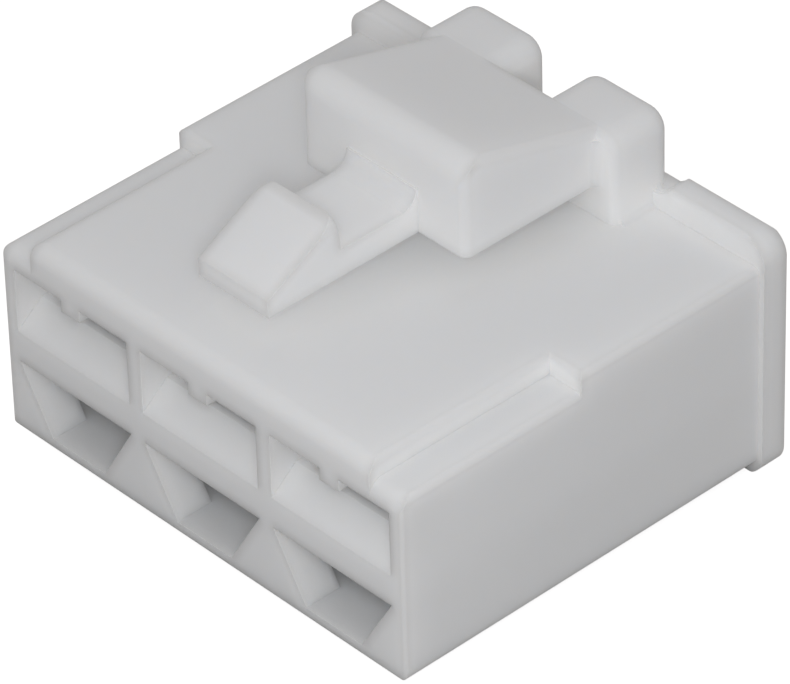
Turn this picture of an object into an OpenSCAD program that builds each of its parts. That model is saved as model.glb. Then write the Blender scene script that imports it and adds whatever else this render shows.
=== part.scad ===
// Wire to board connector housing, one moulded piece with a flexing latch.
// Millimetres. +Z is up, the mating face looks along -Y and the wires leave along +Y.
// The origin is the middle of the box round the part, at its lowest level.

/* [Row of ways] */

// number of wires that the housing takes
ways = 3; // [2:1:8]
// distance between neighbouring ways
pitch = 3.96; // [3.8:0.01:5.08]
// width of one cell in the mating face
cell_width = 3.54; // [3:0.02:3.6]
// outer wall beside the first and the last cell
end_wall = 0.375; // [0.25:0.005:1.2]

/* [Body] */

// length of the body, from the mating face to the front of the rear flange
body_length = 10.17; // [9.2:0.01:16]
// height of the low shoulders at the two front corners
shoulder_height = 4.66; // [4.5:0.01:7]
// how far the main top stands above the shoulders
top_rise = 0.45; // [0.2:0.01:1]
// width of a shoulder
shoulder_width = 0.93; // [0.5:0.01:1.2]
// length of a shoulder, from the mating face
shoulder_length = 5.02; // [2:0.01:8]
// radius of the long outer edges
edge_radius = 0.14; // [0.1:0.01:0.4]
// radius of the upper edge of the mating face
face_radius = 0.36; // [0.1:0.01:0.4]
// radius of the upright edges of the mating face
upright_radius = 0.08; // [0.05:0.01:0.3]

/* [Rear flange] */

// thickness of the flange
flange_thickness = 0.67; // [0.4:0.01:2]
// how far the flange stands out at each side of the body
flange_side = 0.14; // [0.1:0.01:1.5]
// how far the flange stands out below the body
flange_below = 0.4; // [0.1:0.01:1.2]
// how far the flange stands above the main top
flange_above = 0.63; // [0.35:0.01:1.5]
// radius of the four flange corners
flange_radius = 0.58; // [0.2:0.01:0.8]
// depth of the dip in the flange round the latch legs
lip_dip = 0.26; // [0.1:0.01:0.3]

/* [Mating face] */

// thickness of the floor under the pin openings
floor_thickness = 0.22; // [0.2:0.01:0.6]
// level of the top edge of the pin openings
opening_top = 1.8; // [1.5:0.01:2.2]
// width of a pin opening at its floor
opening_floor_width = 1.66; // [1:0.01:2.6]
// thickness of the wall that holds the pin openings
face_wall = 0.95; // [0.8:0.01:2]
// level where the ramp over the bar starts
ramp_start = 2.58; // [2.4:0.01:2.9]
// level of the top of the ramp
ramp_top = 3.15; // [3:0.01:3.4]
// distance from the mating face to the top of the ramp
ramp_depth = 0.7; // [0.5:0.01:0.75]
// level of the ceiling of the upper slots
slot_top = 4.2; // [3.9:0.01:4.2]
// width of the small rib in the middle of each upper slot
slot_rib_width = 0.56; // [0.3:0.01:0.9]
// how far that rib hangs below the ceiling
slot_rib_height = 0.3; // [0.2:0.01:0.5]

/* [Contact chambers] */

// width of the low, wide part of a chamber
chamber_width = 3.38; // [3:0.01:3.4]
// width of the upper part of a chamber
chamber_upper_width = 2.7; // [2:0.01:2.9]
// level where a chamber becomes narrower
chamber_step = 1.95; // [1.7:0.01:2.3]
// depth of the wider mouth at the wire end
wire_mouth_depth = 0.3; // [0.1:0.01:0.5]
// how much wider that mouth is on each side
wire_mouth_margin = 0.08; // [0.03:0.01:0.09]

/* [Latch] */

// gap between the latch and the main top
latch_gap = 0.85; // [0.5:0.01:2]
// width of the tongue
tongue_width = 2.1; // [1.6:0.01:2.8]
// distance from the mating face to the tip of the tongue
tongue_setback = 1.1; // [0.5:0.01:1.6]
// height of the blunt tip
tip_height = 0.44; // [0.3:0.01:0.6]
// thickness of the tongue behind the hook
tongue_thickness = 0.68; // [0.5:0.01:0.8]
// distance from the mating face to the ridge of the hook
hook_ridge = 3.04; // [2.6:0.01:3.4]
// thickness of the tongue at the ridge of the hook
hook_height = 1.5; // [1.2:0.01:1.8]
// radius of the two top corners of the hook
hook_radius = 0.3; // [0.1:0.01:0.5]
// distance from the mating face to the front of the press pad
pad_front = 5.3; // [4.4:0.01:5.8]
// width of the press pad
pad_width = 4.9; // [4.4:0.01:5.2]
// thickness of the latch at the front of the pad
pad_height = 2.46; // [2:0.01:3.4]
// radius of the top front edge of the pad
pad_radius = 0.5; // [0.2:0.01:0.7]
// radius of the other edges of the pad
pad_edge = 0.2; // [0.05:0.01:0.3]
// radius of the corner where the tongue meets the pad
root_fillet = 0.42; // [0.2:0.01:0.5]

/* [Latch legs] */

// distance between the two legs
leg_gap = 1.32; // [0.8:0.01:2]
// distance over the outer sides of the two legs
leg_span = 5.98; // [5.4:0.01:6.4]
// length of a leg along the body
leg_length = 1.65; // [1.2:0.01:2.5]
// how far the legs stop short of the rear of the flange
leg_inset = 0.14; // [0.05:0.01:0.3]
// height of the legs above the underside of the latch
leg_rise = 1.35; // [0.9:0.01:1.8]
// radius of the two side edges on top of a leg
leg_radius = 0.5; // [0.45:0.01:0.6]
// radius of the rear edges of a leg, upright and on top
leg_corner = 0.3; // [0.1:0.01:0.45]
// radius of the curve from the side of the pad out to the side of a leg
leg_blend = 0.2; // [0.05:0.01:0.2]
// fillet at the outer foot of a leg
foot_fillet = 0.16; // [0.1:0.01:0.3]

/* [Hidden] */

$fn = 48;
over = 0.5;
seam = 0.02;
fine_radius = 0.1;
dip_slope = 0.3;
bump_lift = 0.06;

body_width = (ways - 1) * pitch + cell_width + 2 * end_wall;
top_width = body_width - 2 * shoulder_width;
flange_width = body_width + 2 * flange_side;
depth = body_length + flange_thickness;
top_level = shoulder_height + top_rise;
flange_top = top_level + flange_above;
latch_level = top_level + latch_gap;
leg_rear = depth - leg_inset;
leg_front = leg_rear - leg_length;
leg_top = latch_level + leg_rise;
leg_width = (leg_span - leg_gap) / 2;
pad_rear = leg_front + leg_blend;
pad_level = latch_level + pad_height;
pad_slope = atan2(pad_level - leg_top, pad_rear - pad_front);
pad_tangent = pad_radius / tan((90 - pad_slope) / 2);
root_level = latch_level + tongue_thickness;
ridge_level = latch_level + hook_height;
dip_level = flange_top - lip_dip;

// section with round lower and upper corners, drawn across the row
module round_section(w, low, high, r_low, r_high) {
  half_height = (high - low) / 2;
  translate([-w / 2 + r_low, low]) square([w - 2 * r_low, half_height]);
  translate([-w / 2, low + r_low]) square([w, half_height - r_low]);
  translate([-w / 2 + r_high, low + half_height]) square([w - 2 * r_high, half_height]);
  translate([-w / 2, low + half_height]) square([w, half_height - r_high]);
  for (side = [-1, 1]) {
    translate([side * (w / 2 - r_low), low + r_low]) circle(r = r_low);
    translate([side * (w / 2 - r_high), high - r_high]) circle(r = r_high);
  }
}

// stretches a drawing made in X and Z from y0 to y1
module along_body(y0, y1) {
  translate([0, y1, 0]) rotate([90, 0, 0]) linear_extrude(height = y1 - y0) children();
}

// stretches a drawing made in Y and Z over a width, centred on the row
module across_row(w) {
  translate([-w / 2, 0, 0]) rotate([90, 0, 90]) linear_extrude(height = w) children();
}

// side view of a block whose upper front edge is round
module side_outline(y0, y1, low, high, r) {
  translate([y0 + r, low]) square([y1 - y0 - r, high - low]);
  translate([y0, low]) square([y1 - y0, high - low - r]);
  translate([y0 + r, high - r]) circle(r = r);
}

// plan of a block whose two front corners are round
module plan_outline(w, y0, y1, r) {
  translate([-w / 2, y0 + r]) square([w, y1 - y0 - r]);
  translate([-w / 2 + r, y0]) square([w - 2 * r, y1 - y0]);
  for (side = [-1, 1]) {
    translate([side * (w / 2 - r), y0 + r]) circle(r = r);
  }
}

// low block with the shoulders on top
module shoulder_block() {
  intersection() {
    along_body(0, body_length + seam) round_section(body_width, 0, shoulder_height, edge_radius, edge_radius);
    across_row(body_width + over) side_outline(0, body_length + over, -over, shoulder_height, face_radius);
    linear_extrude(height = top_level + over) plan_outline(body_width, 0, body_length + over, upright_radius);
  }
}

// middle strip of the main top, over the whole length
module middle_block() {
  intersection() {
    along_body(0, body_length + seam) round_section(top_width, edge_radius, top_level, edge_radius, edge_radius);
    across_row(body_width + over) side_outline(0, body_length + over, -over, top_level, face_radius);
  }
}

// rear part of the main top, over the whole width
module rear_block() {
  intersection() {
    along_body(shoulder_length, body_length + seam)
      round_section(body_width, edge_radius, top_level, edge_radius, edge_radius);
    across_row(body_width + over)
      side_outline(shoulder_length, body_length + over, -over, top_level, min(edge_radius, top_rise / 2));
  }
}

// flange plate with round corners and softened edges
module flange_plate() {
  intersection() {
    along_body(body_length, depth)
      round_section(flange_width, -flange_below, flange_top, flange_radius, flange_radius);
    across_row(flange_width + over)
      translate([(body_length + depth) / 2, 0])
        round_section(flange_thickness, -flange_below, flange_top, fine_radius, fine_radius);
  }
}

// dip in the upper edge of the flange, between and beside the legs
module flange_dip() {
  foot = leg_span / 2 + foot_fillet;
  along_body(body_length - over, depth + over)
    polygon([
      [-foot - dip_slope, flange_top + over],
      [-foot - dip_slope, flange_top - bump_lift],
      [-foot, dip_level],
      [foot, dip_level],
      [foot + dip_slope, flange_top - bump_lift],
      [foot + dip_slope, flange_top + over]
    ]);
}

// one leg of the latch, on the side given by 1 or -1
module leg(side) {
  translate([side * (leg_gap + leg_width) / 2, 0, 0]) {
    leg_post();
    for (edge = [-1, 1]) {
      translate([edge * (leg_width / 2 - leg_radius), 0, leg_top - leg_radius]) leg_shoulder();
    }
    across_row(leg_width - 2 * leg_radius) leg_outline(leg_top - leg_radius - seam, leg_top);
  }
}

// upright part of a leg, with round upright edges
module leg_post() {
  low = top_level - seam - fine_radius;
  translate([0, 0, low])
    linear_extrude(height = leg_top - leg_radius - low) {
      translate([-leg_width / 2, leg_front + leg_blend])
        square([leg_width, leg_length - leg_blend - leg_corner]);
      translate([-leg_width / 2 + leg_blend, leg_front])
        square([leg_width - 2 * leg_blend, 2 * leg_blend]);
      translate([-leg_width / 2 + leg_corner, leg_rear - 2 * leg_corner])
        square([leg_width - 2 * leg_corner, 2 * leg_corner]);
      for (near = [-1, 1]) {
        translate([near * (leg_width / 2 - leg_corner), leg_rear - leg_corner])
          circle(r = leg_corner);
        translate([near * (leg_width / 2 - leg_blend), leg_front + leg_blend])
          circle(r = leg_blend);
      }
    }
}

// round side edge on top of a leg, which turns the end edges with it
module leg_shoulder() {
  rotate([-90, 0, 0])
    rotate_extrude()
      intersection() {
        translate([0, leg_front]) square([leg_radius, leg_length]);
        end_rounded(leg_radius);
      }
}

// strip along a leg, from its middle out to w, with the round corners of its two ends
module end_rounded(w) {
  translate([-w, leg_front + leg_blend])
    square([2 * w, leg_length - leg_blend - leg_corner]);
  translate([-w, leg_front])
    square([2 * w - leg_blend, 2 * leg_blend]);
  translate([-w, leg_rear - 2 * leg_corner])
    square([2 * w - leg_corner, 2 * leg_corner]);
  translate([w - leg_blend, leg_front + leg_blend]) circle(r = leg_blend);
  translate([w - leg_corner, leg_rear - leg_corner]) circle(r = leg_corner);
}

// side view of the top of a leg, with the same end edges
module leg_outline(low, high) {
  translate([leg_front + leg_blend, low])
    square([leg_length - leg_blend - leg_corner, high - low]);
  translate([leg_front, low])
    square([2 * leg_blend, high - low - leg_blend]);
  translate([leg_rear - 2 * leg_corner, low])
    square([2 * leg_corner, high - low - leg_corner]);
  translate([leg_front + leg_blend, high - leg_blend]) circle(r = leg_blend);
  translate([leg_rear - leg_corner, high - leg_corner]) circle(r = leg_corner);
}

// hollow fillet at the outer foot of a leg
module foot(side, level, y0, y1) {
  outer = leg_span / 2;
  along_body(y0, y1)
    difference() {
      translate([side > 0 ? outer - seam : -outer - foot_fillet, level - seam])
        square([foot_fillet + seam, foot_fillet + seam]);
      translate([side * (outer + foot_fillet), level + foot_fillet]) circle(r = foot_fillet);
    }
}

// press pad with its sloping top and round edges
module pad() {
  intersection() {
    across_row(pad_width) pad_outline();
    linear_extrude(height = pad_level + over)
      plan_outline(pad_width, pad_front, pad_rear + over, pad_edge);
    translate([0, pad_front, pad_level]) rotate([-pad_slope, 0, 0])
      along_body(-pad_height, body_length) round_section(pad_width, -2 * pad_height, 0, pad_edge, pad_edge);
  }
}

// side view of the pad
module pad_outline() {
  polygon([
    [pad_front, latch_level],
    [pad_front, pad_level - pad_tangent],
    [pad_front + pad_radius, pad_level - pad_tangent],
    [pad_front + pad_tangent * cos(pad_slope), pad_level - pad_tangent * sin(pad_slope)],
    [pad_rear, leg_top],
    [pad_rear, latch_level]
  ]);
  translate([pad_front + pad_radius, pad_level - pad_tangent]) circle(r = pad_radius);
}

// hollow corner in plan that carries the side of the pad out to a leg
module leg_flare(side) {
  inner = pad_width / 2;
  intersection() {
    along_body(leg_front - leg_blend, pad_rear)
      translate([side * (leg_gap + leg_width) / 2, 0])
        round_section(leg_width, latch_level, leg_top, fine_radius, leg_radius);
    translate([0, 0, latch_level]) linear_extrude(height = leg_rise - leg_blend)
      difference() {
        translate([side > 0 ? inner - leg_blend : -inner - leg_blend, leg_front - leg_blend])
          square([2 * leg_blend, leg_blend + seam]);
        translate([side * (inner + leg_blend), leg_front - leg_blend]) circle(r = leg_blend);
      }
  }
}

// tongue with the ramped hook, up to the pad
module tongue() {
  intersection() {
    across_row(tongue_width)
      polygon([
        [tongue_setback, latch_level],
        [tongue_setback, latch_level + tip_height],
        [hook_ridge, ridge_level],
        [hook_ridge + fine_radius, root_level],
        [pad_front + fine_radius, root_level],
        [pad_front + fine_radius, latch_level]
      ]);
    along_body(tongue_setback - over, pad_front + over)
      round_section(tongue_width, latch_level - over, ridge_level, fine_radius, hook_radius);
  }
}

// hollow corner between tongue and pad, ending in a thin step on the pad
module tongue_root() {
  across_row(tongue_width)
    difference() {
      translate([pad_front - root_fillet, root_level - seam])
        square([root_fillet + fine_radius, root_fillet + seam]);
      translate([pad_front - root_fillet - fine_radius / 2, root_level + root_fillet]) circle(r = root_fillet);
    }
}

// everything that is cut out for one way
module cell_cut() {
  // pin opening, wide at the top and narrow at the floor
  along_body(-over, face_wall + seam)
    polygon([
      [-cell_width / 2, opening_top],
      [cell_width / 2, opening_top],
      [opening_floor_width / 2, floor_thickness],
      [-opening_floor_width / 2, floor_thickness]
    ]);
  // upper slot with the ramp below it and the small rib left standing
  difference() {
    across_row(cell_width)
      polygon([
        [-over, ramp_start],
        [0, ramp_start],
        [ramp_depth, ramp_top],
        [face_wall + seam, ramp_top],
        [face_wall + seam, slot_top],
        [-over, slot_top]
      ]);
    translate([-slot_rib_width / 2, 0, slot_top - slot_rib_height])
      cube([slot_rib_width, face_wall + over, slot_rib_height + over]);
  }
  // low, wide part of the chamber
  translate([-chamber_width / 2, face_wall, floor_thickness])
    cube([chamber_width, depth - face_wall + over, chamber_step - floor_thickness]);
  // narrower upper part of the chamber
  translate([-chamber_upper_width / 2, face_wall - seam, chamber_step - seam])
    cube([chamber_upper_width, depth - face_wall + over, slot_top - chamber_step + seam]);
  // wider mouth where the wire leaves
  translate([-chamber_width / 2 - wire_mouth_margin, depth - wire_mouth_depth, floor_thickness - wire_mouth_margin])
    cube([
      chamber_width + 2 * wire_mouth_margin,
      wire_mouth_depth + over,
      slot_top - floor_thickness + 2 * wire_mouth_margin
    ]);
}

// the whole housing, measured from the mating face and the underside of the body
module housing_body() {
  difference() {
    union() {
      shoulder_block();
      middle_block();
      rear_block();
      difference() {
        flange_plate();
        flange_dip();
      }
    }
    for (way = [0 : ways - 1]) {
      translate([(way - (ways - 1) / 2) * pitch, 0, 0]) cell_cut();
    }
  }
  for (side = [-1, 1]) {
    leg(side);
    leg_flare(side);
    foot(side, top_level, leg_front + leg_blend, body_length + seam);
    foot(side, dip_level, body_length + fine_radius, leg_rear - leg_corner);
  }
  pad();
  tongue();
  tongue_root();
}

module housing() {
  color("ivory")
    translate([0, -depth / 2, flange_below]) housing_body();
}

housing();
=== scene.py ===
# %% [markdown]
# # A wire to board connector housing in natural nylon
#
# This lesson dresses one small moulded part, about 12 mm wide, in Blender. The part is
# the plastic housing that a row of crimped wires is pushed into before it plugs onto a
# board. It has no moving pieces: the latch on top is the same moulding and only bends.
#
# The first cell loads the finished solid, which is never moved or changed here, and
# keeps the size of its box.

# %% Load the moulding
import math
import bpy
from mathutils import Matrix, Vector


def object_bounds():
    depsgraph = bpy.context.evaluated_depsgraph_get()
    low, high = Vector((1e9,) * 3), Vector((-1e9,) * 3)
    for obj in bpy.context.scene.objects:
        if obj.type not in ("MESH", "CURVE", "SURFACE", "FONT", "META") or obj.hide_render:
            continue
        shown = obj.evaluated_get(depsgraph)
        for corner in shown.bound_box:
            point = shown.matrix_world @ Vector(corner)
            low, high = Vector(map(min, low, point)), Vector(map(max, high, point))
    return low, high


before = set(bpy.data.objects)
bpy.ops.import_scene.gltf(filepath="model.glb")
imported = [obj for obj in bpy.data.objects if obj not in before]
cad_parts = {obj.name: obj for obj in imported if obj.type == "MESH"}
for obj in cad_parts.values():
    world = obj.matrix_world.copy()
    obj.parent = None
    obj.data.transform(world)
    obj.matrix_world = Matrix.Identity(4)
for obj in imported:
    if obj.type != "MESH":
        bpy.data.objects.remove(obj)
solid_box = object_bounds()
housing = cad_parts["housing"]
MM = 0.001
print("housing box in mm:", [[round(v / MM, 2) for v in corner] for corner in solid_box])

# %% [markdown]
# ## How natural nylon looks
#
# Unpigmented nylon is milky. Light goes about a millimetre into it, scatters, and comes
# out again, so edges look soft and the openings into the hollow chambers are grey and
# not black. That is subsurface scattering, and its radius is a real distance in metres:
# red light travels a little further than blue.
#
# Two things are painted into the colour. Light that comes near a rim can leave on its far
# side and is lost, so a rim looks no brighter than the face beside it: that shade is
# painted on as a darker rim tone. And light that goes into a chamber bounces between pale
# walls many more times than a render follows: that light is painted on as a paler tone in
# the hollows. Two ambient occlusion nodes find these places: one looks inward and finds
# thin or edge plastic, the other looks outward and finds hollows.
#
# The surface is a plain matt mould finish. Very fine spark-eroded grain makes the
# reflections broad. Slow, faint clouds in the colour come from uneven crystals in the
# plastic. All of it is built once as a node group with named inputs.

# %% A helper that makes node groups
def new_group(name, inputs, outputs):
    group = bpy.data.node_groups.new(name, "ShaderNodeTree")
    for socket, kind, value in inputs:
        made = group.interface.new_socket(socket, in_out="INPUT", socket_type=kind)
        made.default_value = value
    for socket, kind in outputs:
        group.interface.new_socket(socket, in_out="OUTPUT", socket_type=kind)
    start = group.nodes.new("NodeGroupInput")
    end = group.nodes.new("NodeGroupOutput")
    return group, start, end


print("group helper ready")

# %% [markdown]
# ## The parts of the skin
#
# Three kinds of node come back again: a noise in the plastic's own coordinates, an
# occlusion mask with a reach in metres, and a blend of two tones by a mask. Each gets a
# small helper, so that the group itself reads like a recipe.

# %% Noise, occlusion mask and blend
MASK_SAMPLES = 8


def add_noise(group, coordinates, scale, detail):
    noise = group.nodes.new("ShaderNodeTexNoise")
    noise.inputs["Detail"].default_value = detail
    noise.inputs["Roughness"].default_value = 0.5
    group.links.new(coordinates, noise.inputs["Vector"])
    group.links.new(scale, noise.inputs["Scale"])
    return noise.outputs["Fac"]


def add_mask(group, reach, inward):
    mask = group.nodes.new("ShaderNodeAmbientOcclusion")
    mask.inside = inward
    mask.only_local = True
    mask.samples = MASK_SAMPLES
    group.links.new(reach, mask.inputs["Distance"])
    return mask.outputs["AO"]


def add_blend(group, mask, low, high):
    blend = group.nodes.new("ShaderNodeMix")
    blend.data_type = "RGBA"
    group.links.new(mask, blend.inputs["Factor"])
    group.links.new(low, blend.inputs["A"])
    group.links.new(high, blend.inputs["B"])
    return blend.outputs["Result"]


def add_range(group, value, from_range, to_range):
    node = group.nodes.new("ShaderNodeMapRange")
    for side, ends in (("From", from_range), ("To", to_range)):
        node.inputs[side + " Min"].default_value = ends[0]
        node.inputs[side + " Max"].default_value = ends[1]
    group.links.new(value, node.inputs["Value"])
    return node.outputs["Result"]


print("noise, mask, blend and range helpers ready")

# %% [markdown]
# ## The skin group
#
# The clouds mix the two milk tones. The inward mask then puts a painted shade, the darker
# rim tone, on thin and edge plastic, and the outward mask puts a painted light, the paler
# hollow tone, where walls hide much of the open air. The same clouds move the roughness a
# little, and the grain goes out as a height for the bump in the material.

# %% Mould grain, flow clouds, painted rim shade and painted hollow light
OPEN_AIR = (0.4, 0.8)
MATT_ROUGHNESS = (0.62, 0.76)
WHOLE = (0.0, 1.0)


def make_nylon_skin():
    group, start, end = new_group(
        "nylon_skin",
        [
            ("Light Tone", "NodeSocketColor", (0.8, 0.8, 0.8, 1)),
            ("Deep Tone", "NodeSocketColor", (0.7, 0.7, 0.7, 1)),
            # the rim tone is painted shade, the hollow tone is painted light
            ("Painted Rim Shade", "NodeSocketColor", (0.7, 0.7, 0.7, 1)),
            ("Painted Hollow Light", "NodeSocketColor", (0.9, 0.9, 0.9, 1)),
            ("Rim Shade Depth", "NodeSocketFloat", 0.001),
            ("Hollow Light Reach", "NodeSocketFloat", 0.002),
            ("Cloud Size", "NodeSocketFloat", 500.0),
            ("Grain Size", "NodeSocketFloat", 9000.0),
        ],
        [
            ("Color", "NodeSocketColor"),
            ("Roughness", "NodeSocketFloat"),
            ("Grain", "NodeSocketFloat"),
        ],
    )
    given = start.outputs
    own = group.nodes.new("ShaderNodeTexCoord").outputs["Object"]
    clouds = add_noise(group, own, given["Cloud Size"], 3.0)
    grain = add_noise(group, own, given["Grain Size"], 2.0)
    milk = add_blend(group, clouds, given["Light Tone"], given["Deep Tone"])
    # painted shade: the inward mask puts the darker rim colour on thin and edge plastic,
    # in place of light lost through the rims
    rim_shade_mask = add_mask(group, given["Rim Shade Depth"], True)
    rim_shaded = add_blend(group, rim_shade_mask, given["Painted Rim Shade"], milk)
    # painted light: the outward mask puts the paler hollow colour into chambers and slots,
    # in place of light bouncing between their walls
    air = add_mask(group, given["Hollow Light Reach"], False)
    open_air = add_range(group, air, OPEN_AIR, WHOLE)
    tone = add_blend(group, open_air, given["Painted Hollow Light"], rim_shaded)
    matt = add_range(group, clouds, WHOLE, MATT_ROUGHNESS)
    group.links.new(tone, end.inputs["Color"])
    group.links.new(matt, end.inputs["Roughness"])
    group.links.new(grain, end.inputs["Grain"])
    return group


nylon_skin = make_nylon_skin()
print("nylon skin sockets:", [s.name for s in nylon_skin.interface.items_tree])

# %% [markdown]
# ## The nylon material
#
# The Principled shader stays in the material itself. Its constant values, such as the
# scatter radius and the refractive index of nylon, are set straight on its sockets. The
# group only feeds what changes over the surface: colour, roughness and grain height.

# %% Values of natural nylon
NYLON_IOR = 1.53
SCATTER_DEPTH = 0.9 * MM
SCATTER_COLOURS = (1.0, 0.95, 0.9)
GRAIN_STRENGTH = 0.12
GRAIN_HEIGHT = 0.004 * MM
NYLON_SKIN_VALUES = {
    "Light Tone": (0.873, 0.882, 0.898, 1),
    "Deep Tone": (0.858, 0.867, 0.883, 1),
    # painted shade on rims and thin walls
    "Painted Rim Shade": (0.58, 0.575, 0.57, 1),
    # painted light in the hollows
    "Painted Hollow Light": (0.995, 0.995, 0.993, 1),
    "Rim Shade Depth": 0.25 * MM,
    "Hollow Light Reach": 3.0 * MM,
    "Cloud Size": 420.0,
    "Grain Size": 16000.0,
}
print("light scatters over", SCATTER_DEPTH / MM, "mm")

# %% Natural nylon
def make_nylon(name):
    nylon = bpy.data.materials.new(name)
    nylon.use_nodes = True
    nodes, links = nylon.node_tree.nodes, nylon.node_tree.links
    shader = nodes["Principled BSDF"]
    shader.inputs["IOR"].default_value = NYLON_IOR
    shader.inputs["Subsurface Weight"].default_value = 1.0
    shader.inputs["Subsurface Radius"].default_value = SCATTER_COLOURS
    shader.inputs["Subsurface Scale"].default_value = SCATTER_DEPTH
    skin = nodes.new("ShaderNodeGroup")
    skin.node_tree = nylon_skin
    for socket, value in NYLON_SKIN_VALUES.items():
        skin.inputs[socket].default_value = value
    links.new(skin.outputs["Color"], shader.inputs["Base Color"])
    links.new(skin.outputs["Roughness"], shader.inputs["Roughness"])
    bump = nodes.new("ShaderNodeBump")
    bump.inputs["Strength"].default_value = GRAIN_STRENGTH
    bump.inputs["Distance"].default_value = GRAIN_HEIGHT
    links.new(skin.outputs["Grain"], bump.inputs["Height"])
    links.new(bump.outputs["Normal"], shader.inputs["Normal"])
    return nylon


natural_nylon = make_nylon("natural_nylon")
for slot in housing.material_slots:
    slot.material = natural_nylon
print("slots on the housing:", [s.material.name for s in housing.material_slots])

# %% [markdown]
# ## The table
#
# The part stands on a plain white sheet. The sheet is stage, not part of the object. A
# white sheet would light the part from below as strongly as the lamp does from above,
# and a milky part then looks flat. So the sheet glows white only where the camera looks
# at it, and gives the part no more light than a warm grey sheet would.

# %% White paper
PAPER_TONE = (0.48, 0.47, 0.46)
PAPER_GLOW = 0.85


def make_paper(name):
    paper = bpy.data.materials.new(name)
    paper.use_nodes = True
    nodes, links = paper.node_tree.nodes, paper.node_tree.links
    shader = nodes["Principled BSDF"]
    shader.inputs["Base Color"].default_value = (*PAPER_TONE, 1)
    shader.inputs["Roughness"].default_value = 0.9
    shader.inputs["Specular IOR Level"].default_value = 0.0
    shader.inputs["Emission Color"].default_value = (1, 1, 1, 1)
    way = nodes.new("ShaderNodeLightPath")
    glow = nodes.new("ShaderNodeMath")
    glow.operation = "MULTIPLY"
    glow.inputs[1].default_value = PAPER_GLOW
    links.new(way.outputs["Is Camera Ray"], glow.inputs[0])
    links.new(glow.outputs["Value"], shader.inputs["Emission Strength"])
    return paper


white_paper = make_paper("white_paper")
print("paper tone:", PAPER_TONE)

# %% The sheet under the part
SHEET_HALF_WIDTH = 2.0


def make_sheet(half_width):
    z = solid_box[0].z
    turns = [(-1, -1), (1, -1), (1, 1), (-1, 1)]
    corners = [(x * half_width, y * half_width, z) for x, y in turns]
    mesh = bpy.data.meshes.new("white_sheet")
    mesh.from_pydata(corners, [], [(0, 1, 2, 3)])
    sheet = bpy.data.objects.new("white_sheet", mesh)
    bpy.context.collection.objects.link(sheet)
    sheet.data.materials.append(white_paper)
    return sheet


sheet = make_sheet(SHEET_HALF_WIDTH)
print("sheet at z =", round(solid_box[0].z / MM, 3), "mm")

# %% [markdown]
# ## Soft studio light
#
# A milky part is shown under a plain, even light, or its shape is lost in glare. One
# round lamp stands close to the viewer, a little cool, and lights the top, the front and
# the side almost alike, also into the openings. An even, slightly warm world fills all
# that the lamp doesn't reach, so the low sides and the rear come out a little warmer.

# %% The lamp
LAMP_PLACE = (36, -35, 40)
LAMP_AIM = (1, -3, 4)
LAMP_WIDTH = 12
LAMP_WATTS = 0.0102
LAMP_TINT = (0.98, 1, 1.02)


def make_soft_box(name, place, aim, width, watts, tint):
    light = bpy.data.lights.new(name, "AREA")
    light.energy = watts
    light.shape = "DISK"
    light.size = width * MM
    light.color = tint
    lamp = bpy.data.objects.new(name, light)
    lamp.location = Vector(place) * MM
    lamp.rotation_mode = "QUATERNION"
    lamp.rotation_quaternion = (Vector(place) - Vector(aim)).to_track_quat("Z", "Y")
    lamp.visible_camera = False
    bpy.context.collection.objects.link(lamp)
    return lamp


lamp = make_soft_box("soft_box", LAMP_PLACE, LAMP_AIM, LAMP_WIDTH, LAMP_WATTS, LAMP_TINT)
print("lamp at mm:", [round(v / MM, 1) for v in lamp.location])

# %% The world
WORLD_STRENGTH = 0.465
WORLD_TINT = (1.01, 0.995, 0.985)


def make_world(strength, tint):
    world = bpy.data.worlds.new("light_tent")
    world.use_nodes = True
    glow = world.node_tree.nodes["Background"]
    glow.inputs["Color"].default_value = (*tint, 1)
    glow.inputs["Strength"].default_value = strength
    bpy.context.scene.world = world
    return world


bpy.context.scene.view_settings.view_transform = "Standard"
make_world(WORLD_STRENGTH, WORLD_TINT)
print("world strength:", WORLD_STRENGTH)

# %% [markdown]
# ## The camera
#
# The housing is seen from above its right front corner with a long lens, which keeps
# the edges nearly parallel, as product views of small parts do. The place is given as an
# azimuth, an elevation, a small roll and a distance, and the two slides move the view
# sideways and up without turning it.

# %% Camera
VIEW_MIDDLE = (0, -5.42, 0.4)
SENSOR_WIDTH = 36.0


def make_camera(azimuth, elevation, roll, distance, slide_right, slide_up, lens):
    a, e, r = (math.radians(v) for v in (azimuth, elevation, roll))
    back = Vector((math.sin(a) * math.cos(e), -math.cos(a) * math.cos(e), math.sin(e)))
    level = Vector((math.cos(a), math.sin(a), 0))
    upright = back.cross(level)
    right = math.cos(r) * level + math.sin(r) * upright
    up = -math.sin(r) * level + math.cos(r) * upright
    data = bpy.data.cameras.new("camera")
    data.lens = lens
    data.sensor_width = SENSOR_WIDTH
    data.clip_start = 0.01
    data.clip_end = 10.0
    camera = bpy.data.objects.new("camera", data)
    middle = Vector(VIEW_MIDDLE)
    place = (middle + slide_right * right + slide_up * up + distance * back) * MM
    turn = Matrix((right, up, back)).transposed().to_4x4()
    camera.matrix_world = Matrix.Translation(place) @ turn
    bpy.context.collection.objects.link(camera)
    bpy.context.scene.camera = camera
    return camera


camera = make_camera(
    azimuth=47.735,
    elevation=37.348,
    roll=-1.631,
    distance=144.548,
    slide_right=3.956,
    slide_up=4.289,
    lens=316.5,
)
print("camera at mm:", [round(v / MM, 1) for v in camera.location])

# %% [markdown]
# ## The end
#
# Nothing here scales the solid, so the dressed part is as large as the solid that it
# dresses.


print("scene ready")
